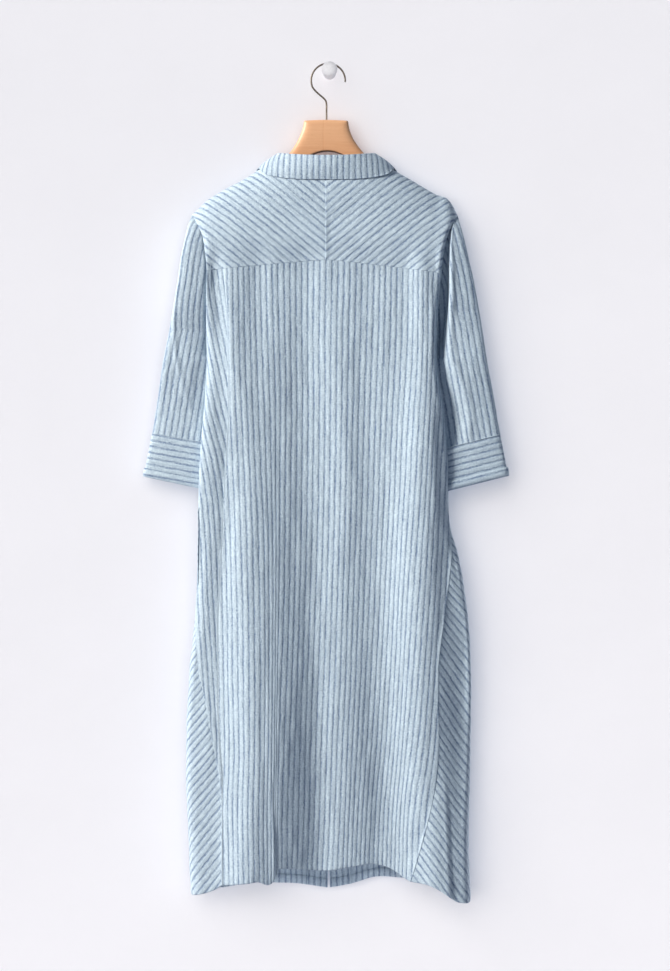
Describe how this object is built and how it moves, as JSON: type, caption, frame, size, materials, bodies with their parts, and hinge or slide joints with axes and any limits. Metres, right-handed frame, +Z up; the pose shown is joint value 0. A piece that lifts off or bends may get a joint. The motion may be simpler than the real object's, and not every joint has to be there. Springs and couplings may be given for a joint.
{
  "type": "shirt dress on hanger and wall knob",
  "caption": "Pale blue striped shirt dress with elbow sleeves and bias side inserts, hanging by a wooden hanger from a round wall knob.",
  "frame": {"origin": "centre of the wall knob's flat back face, on the wall plane", "axes": "+Y into the wall, +Z up, +X to the right as seen from in front of the wall, facing the back of the dress"},
  "size_m": [0.5658, 0.0831, 1.303],
  "materials": {
    "striped_cloth": "matt crinkled cotton and linen with slubby mid-blue stripes",
    "button_shell": "satin",
    "hanger_wood": "satin lacquer",
    "hook_wire": "bright",
    "knob_white": "gloss"
  },
  "bodies": {
    "root": {"back_panel": "striped_cloth", "yoke_left": "striped_cloth", "yoke_right": "striped_cloth", "front_left": "striped_cloth", "front_right": "striped_cloth", "placket_left": "striped_cloth", "placket_right": "striped_cloth", "gusset_left": "striped_cloth", "gusset_right": "striped_cloth", "sleeve_left": "striped_cloth", "sleeve_right": "striped_cloth", "cuff_left": "striped_cloth", "cuff_right": "striped_cloth", "collar_stand": "striped_cloth", "collar_leaf": "striped_cloth", "button_1": "button_shell", "button_2": "button_shell", "button_3": "button_shell", "button_4": "button_shell", "button_5": "button_shell", "button_6": "button_shell", "button_7": "button_shell", "button_8": "button_shell", "button_9": "button_shell", "hanger_wood": "hanger_wood", "hanger_hook": "hook_wire", "wall_knob": "knob_white"}
  },
  "joints": []
}
